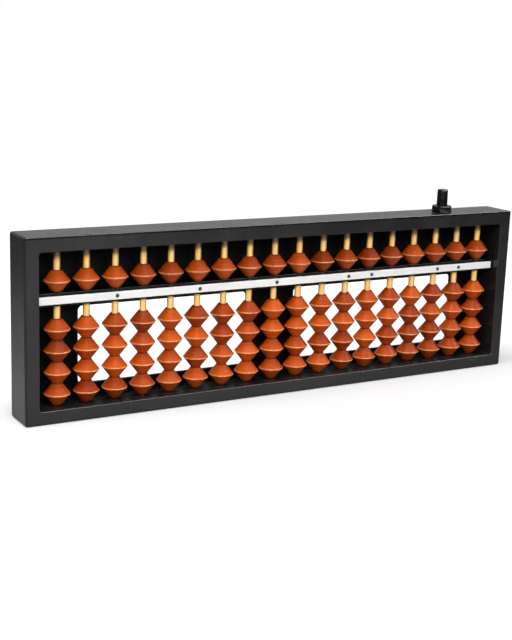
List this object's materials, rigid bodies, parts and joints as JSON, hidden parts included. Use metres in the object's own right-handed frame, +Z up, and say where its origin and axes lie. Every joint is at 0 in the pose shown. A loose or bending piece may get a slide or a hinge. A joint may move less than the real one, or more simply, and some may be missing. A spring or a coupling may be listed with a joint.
{
  "type": "abacus",
  "caption": "Desk abacus: black frame with a dividing beam, double-cone beads sliding on bamboo rods, windows in the back panel and a sprung reset button on the top rail.",
  "frame": {"origin": "on the face the frame stands on, under the middle of its length and depth", "axes": "+X along the length towards the button end, +Y from the bead side to the back, +Z up along the rods"},
  "size_m": [0.275, 0.02, 0.0981],
  "materials": {
    "black_plastic": "satin moulded",
    "panel_plastic": "satin moulded",
    "white_strip": "satin",
    "bamboo": "smooth, with lengthwise grain",
    "gloss_black": "gloss",
    "white_acetal": "satin",
    "steel": "plated",
    "rubber_pad": "matt",
    "bead_plastic": "satin"
  },
  "bodies": {
    "case": {"frame": "black_plastic", "back_panel": "panel_plastic", "beam": "black_plastic", "beam_strip": "white_strip", "rods": "bamboo", "button_collar": "gloss_black", "left_pinion_pin": "steel", "right_pinion_pin": "steel", "left_return_spring": "steel", "right_return_spring": "steel", "panel_screw_1": "steel", "panel_screw_2": "steel", "panel_screw_3": "steel", "panel_screw_4": "steel", "rubber_pad_1": "rubber_pad", "rubber_pad_2": "rubber_pad", "rubber_pad_3": "rubber_pad", "rubber_pad_4": "rubber_pad"},
    "press": {"reset_button": "gloss_black", "push_rod": "black_plastic", "lower_clearing_bar": "black_plastic"},
    "upper_bar": {"upper_clearing_bar": "black_plastic"},
    "left_gear": {"left_pinion": "white_acetal"},
    "right_gear": {"right_pinion": "white_acetal"},
    "upper_01": {"upper_bead_01": "bead_plastic"},
    "upper_02": {"upper_bead_02": "bead_plastic"},
    "upper_03": {"upper_bead_03": "bead_plastic"},
    "upper_04": {"upper_bead_04": "bead_plastic"},
    "upper_05": {"upper_bead_05": "bead_plastic"},
    "upper_06": {"upper_bead_06": "bead_plastic"},
    "upper_07": {"upper_bead_07": "bead_plastic"},
    "upper_08": {"upper_bead_08": "bead_plastic"},
    "upper_09": {"upper_bead_09": "bead_plastic"},
    "upper_10": {"upper_bead_10": "bead_plastic"},
    "upper_11": {"upper_bead_11": "bead_plastic"},
    "upper_12": {"upper_bead_12": "bead_plastic"},
    "upper_13": {"upper_bead_13": "bead_plastic"},
    "upper_14": {"upper_bead_14": "bead_plastic"},
    "upper_15": {"upper_bead_15": "bead_plastic"},
    "upper_16": {"upper_bead_16": "bead_plastic"},
    "upper_17": {"upper_bead_17": "bead_plastic"},
    "upper_18": {"upper_bead_18": "bead_plastic"},
    "lower_01": {"lower_beads_01": "bead_plastic"},
    "lower_02": {"lower_beads_02": "bead_plastic"},
    "lower_03": {"lower_beads_03": "bead_plastic"},
    "lower_04": {"lower_beads_04": "bead_plastic"},
    "lower_05": {"lower_beads_05": "bead_plastic"},
    "lower_06": {"lower_beads_06": "bead_plastic"},
    "lower_07": {"lower_beads_07": "bead_plastic"},
    "lower_08": {"lower_beads_08": "bead_plastic"},
    "lower_09": {"lower_beads_09": "bead_plastic"},
    "lower_10": {"lower_beads_10": "bead_plastic"},
    "lower_11": {"lower_beads_11": "bead_plastic"},
    "lower_12": {"lower_beads_12": "bead_plastic"},
    "lower_13": {"lower_beads_13": "bead_plastic"},
    "lower_14": {"lower_beads_14": "bead_plastic"},
    "lower_15": {"lower_beads_15": "bead_plastic"},
    "lower_16": {"lower_beads_16": "bead_plastic"},
    "lower_17": {"lower_beads_17": "bead_plastic"},
    "lower_18": {"lower_beads_18": "bead_plastic"}
  },
  "joints": [
    {"name": "reset_press", "type": "slide", "parent": "case", "child": "press", "axis": [0, 0, 1], "range_m": [-0.0057, 0], "stiffness_N_per_m": 150, "springref_m": 0.004, "deforming": ["left_return_spring", "right_return_spring"]},
    {"name": "upper_bar_lift", "type": "slide", "parent": "case", "child": "upper_bar", "axis": [0, 0, 1], "range_m": [0, 0.0057]},
    {"name": "left_pinion_turn", "type": "hinge", "parent": "case", "child": "left_gear", "pos_m": [-0.13403, -0.0005, 0.067], "axis": [1, 0, 0], "range_deg": [0, 73]},
    {"name": "right_pinion_turn", "type": "hinge", "parent": "case", "child": "right_gear", "pos_m": [0.13403, -0.0005, 0.067], "axis": [1, 0, 0], "range_deg": [0, 73]},
    {"name": "upper_slide_01", "type": "slide", "parent": "upper_bar", "child": "upper_01", "axis": [0, 0, 1], "range_m": [0, 0.0093]},
    {"name": "upper_slide_02", "type": "slide", "parent": "upper_bar", "child": "upper_02", "axis": [0, 0, 1], "range_m": [0, 0.0093]},
    {"name": "upper_slide_03", "type": "slide", "parent": "upper_bar", "child": "upper_03", "axis": [0, 0, 1], "range_m": [0, 0.0093]},
    {"name": "upper_slide_04", "type": "slide", "parent": "upper_bar", "child": "upper_04", "axis": [0, 0, 1], "range_m": [0, 0.0093]},
    {"name": "upper_slide_05", "type": "slide", "parent": "upper_bar", "child": "upper_05", "axis": [0, 0, 1], "range_m": [0, 0.0093]},
    {"name": "upper_slide_06", "type": "slide", "parent": "upper_bar", "child": "upper_06", "axis": [0, 0, 1], "range_m": [0, 0.0093]},
    {"name": "upper_slide_07", "type": "slide", "parent": "upper_bar", "child": "upper_07", "axis": [0, 0, 1], "range_m": [0, 0.0093]},
    {"name": "upper_slide_08", "type": "slide", "parent": "upper_bar", "child": "upper_08", "axis": [0, 0, 1], "range_m": [0, 0.0093]},
    {"name": "upper_slide_09", "type": "slide", "parent": "upper_bar", "child": "upper_09", "axis": [0, 0, 1], "range_m": [0, 0.0093]},
    {"name": "upper_slide_10", "type": "slide", "parent": "upper_bar", "child": "upper_10", "axis": [0, 0, 1], "range_m": [0, 0.0093]},
    {"name": "upper_slide_11", "type": "slide", "parent": "upper_bar", "child": "upper_11", "axis": [0, 0, 1], "range_m": [0, 0.0093]},
    {"name": "upper_slide_12", "type": "slide", "parent": "upper_bar", "child": "upper_12", "axis": [0, 0, 1], "range_m": [0, 0.0093]},
    {"name": "upper_slide_13", "type": "slide", "parent": "upper_bar", "child": "upper_13", "axis": [0, 0, 1], "range_m": [0, 0.0093]},
    {"name": "upper_slide_14", "type": "slide", "parent": "upper_bar", "child": "upper_14", "axis": [0, 0, 1], "range_m": [0, 0.0093]},
    {"name": "upper_slide_15", "type": "slide", "parent": "upper_bar", "child": "upper_15", "axis": [0, 0, 1], "range_m": [0, 0.0093]},
    {"name": "upper_slide_16", "type": "slide", "parent": "upper_bar", "child": "upper_16", "axis": [0, 0, 1], "range_m": [0, 0.0093]},
    {"name": "upper_slide_17", "type": "slide", "parent": "upper_bar", "child": "upper_17", "axis": [0, 0, 1], "range_m": [0, 0.0093]},
    {"name": "upper_slide_18", "type": "slide", "parent": "upper_bar", "child": "upper_18", "axis": [0, 0, 1], "range_m": [0, 0.0093]},
    {"name": "lower_slide_01", "type": "slide", "parent": "case", "child": "lower_01", "axis": [0, 0, 1], "range_m": [0, 0.0059]},
    {"name": "lower_slide_02", "type": "slide", "parent": "case", "child": "lower_02", "axis": [0, 0, 1], "range_m": [0, 0.0059]},
    {"name": "lower_slide_03", "type": "slide", "parent": "case", "child": "lower_03", "axis": [0, 0, 1], "range_m": [0, 0.0059]},
    {"name": "lower_slide_04", "type": "slide", "parent": "case", "child": "lower_04", "axis": [0, 0, 1], "range_m": [0, 0.0059]},
    {"name": "lower_slide_05", "type": "slide", "parent": "case", "child": "lower_05", "axis": [0, 0, 1], "range_m": [0, 0.0059]},
    {"name": "lower_slide_06", "type": "slide", "parent": "case", "child": "lower_06", "axis": [0, 0, 1], "range_m": [0, 0.0059]},
    {"name": "lower_slide_07", "type": "slide", "parent": "case", "child": "lower_07", "axis": [0, 0, 1], "range_m": [0, 0.0059]},
    {"name": "lower_slide_08", "type": "slide", "parent": "case", "child": "lower_08", "axis": [0, 0, 1], "range_m": [0, 0.0059]},
    {"name": "lower_slide_09", "type": "slide", "parent": "case", "child": "lower_09", "axis": [0, 0, 1], "range_m": [0, 0.0059]},
    {"name": "lower_slide_10", "type": "slide", "parent": "case", "child": "lower_10", "axis": [0, 0, 1], "range_m": [0, 0.0059]},
    {"name": "lower_slide_11", "type": "slide", "parent": "case", "child": "lower_11", "axis": [0, 0, 1], "range_m": [0, 0.0059]},
    {"name": "lower_slide_12", "type": "slide", "parent": "case", "child": "lower_12", "axis": [0, 0, 1], "range_m": [0, 0.0059]},
    {"name": "lower_slide_13", "type": "slide", "parent": "case", "child": "lower_13", "axis": [0, 0, 1], "range_m": [0, 0.0059]},
    {"name": "lower_slide_14", "type": "slide", "parent": "case", "child": "lower_14", "axis": [0, 0, 1], "range_m": [0, 0.0059]},
    {"name": "lower_slide_15", "type": "slide", "parent": "case", "child": "lower_15", "axis": [0, 0, 1], "range_m": [0, 0.0059]},
    {"name": "lower_slide_16", "type": "slide", "parent": "case", "child": "lower_16", "axis": [0, 0, 1], "range_m": [0, 0.0059]},
    {"name": "lower_slide_17", "type": "slide", "parent": "case", "child": "lower_17", "axis": [0, 0, 1], "range_m": [0, 0.0059]},
    {"name": "lower_slide_18", "type": "slide", "parent": "case", "child": "lower_18", "axis": [0, 0, 1], "range_m": [0, 0.0059]}
  ],
  "couplings": [
    {"joint": "upper_bar_lift", "follows": "reset_press", "ratio": -1},
    {"joint": "left_pinion_turn", "follows": "reset_press", "rad_per_m": -222.22},
    {"joint": "right_pinion_turn", "follows": "reset_press", "rad_per_m": -222.22}
  ]
}
